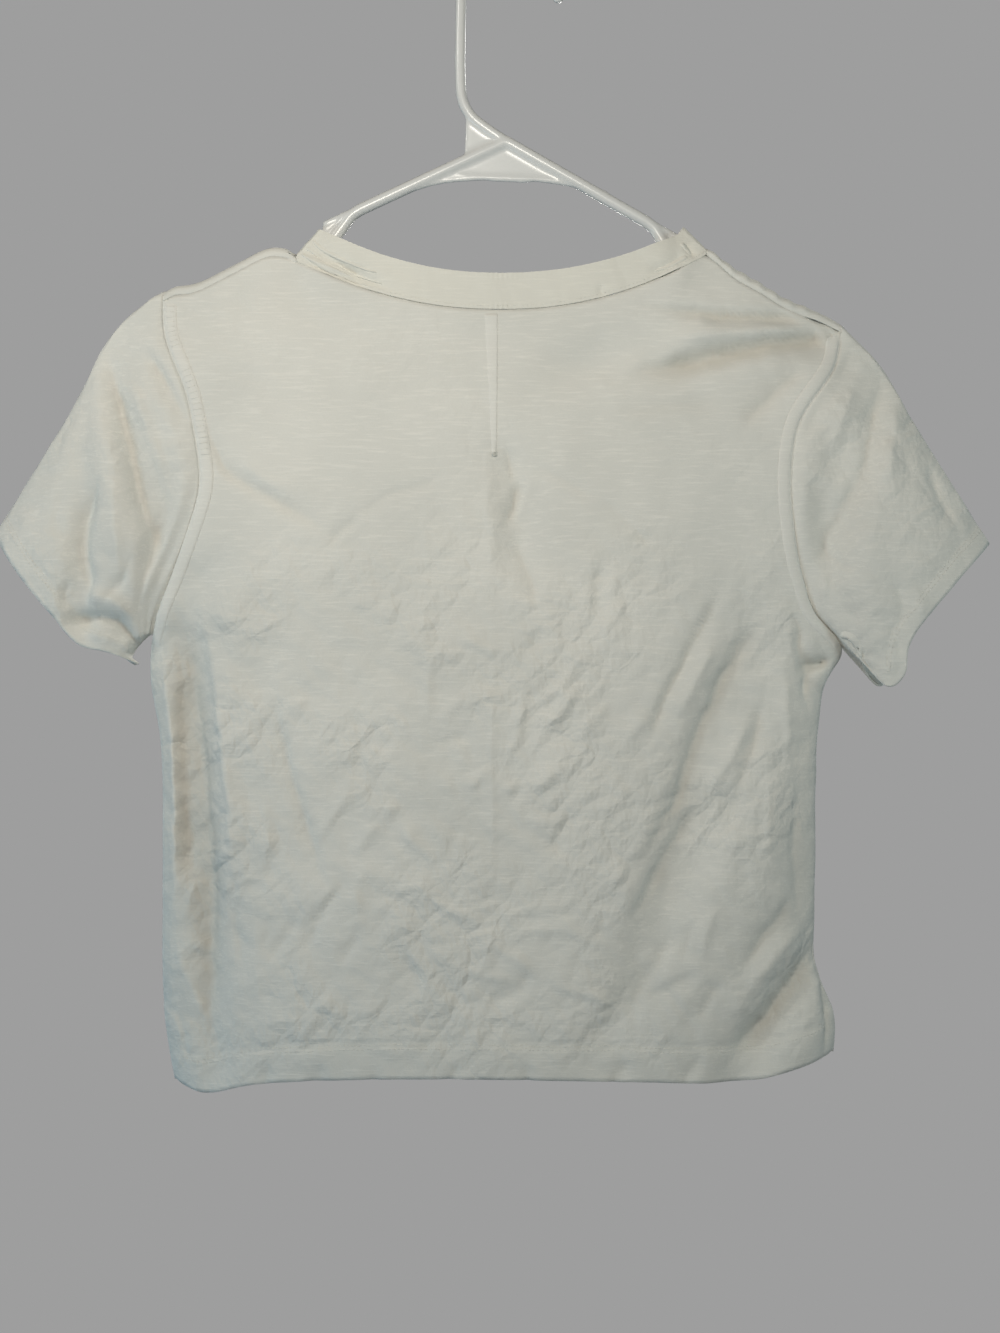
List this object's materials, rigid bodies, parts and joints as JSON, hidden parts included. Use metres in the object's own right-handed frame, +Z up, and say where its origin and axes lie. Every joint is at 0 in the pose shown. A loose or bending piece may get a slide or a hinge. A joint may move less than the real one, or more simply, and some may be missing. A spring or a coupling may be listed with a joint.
{
  "type": "crew neck t-shirt on a clothes hanger",
  "caption": "Cropped crew neck t-shirt with short sleeves and a stitched centre back tuck, hanging open and hollow on a moulded tubular hanger.",
  "frame": {"origin": "inside top of the hanger's hook, where a rail carries it", "axes": "+Z up, along the garment's length; +X to the wearer's right; +Y to the wearer's front"},
  "size_m": [0.6144, 0.082, 0.7121],
  "materials": {
    "jersey": "off-white slub cotton jersey, matt, washed and creased",
    "rib": "cream cotton rib, doubled, matt",
    "hanger": "white moulded plastic, softly glossy"
  },
  "bodies": {
    "root": {"back_panel": "jersey", "front_panel": "jersey", "sleeve_left": "jersey", "sleeve_right": "jersey", "neckband": "rib", "hem_back": "jersey", "hem_front": "jersey", "sleeve_hem_left": "jersey", "sleeve_hem_right": "jersey", "armhole_seam_back_left": "jersey", "armhole_seam_front_left": "jersey", "armhole_seam_back_right": "jersey", "armhole_seam_front_right": "jersey", "centre_back_tuck": "jersey", "hanger": "hanger"}
  },
  "joints": []
}
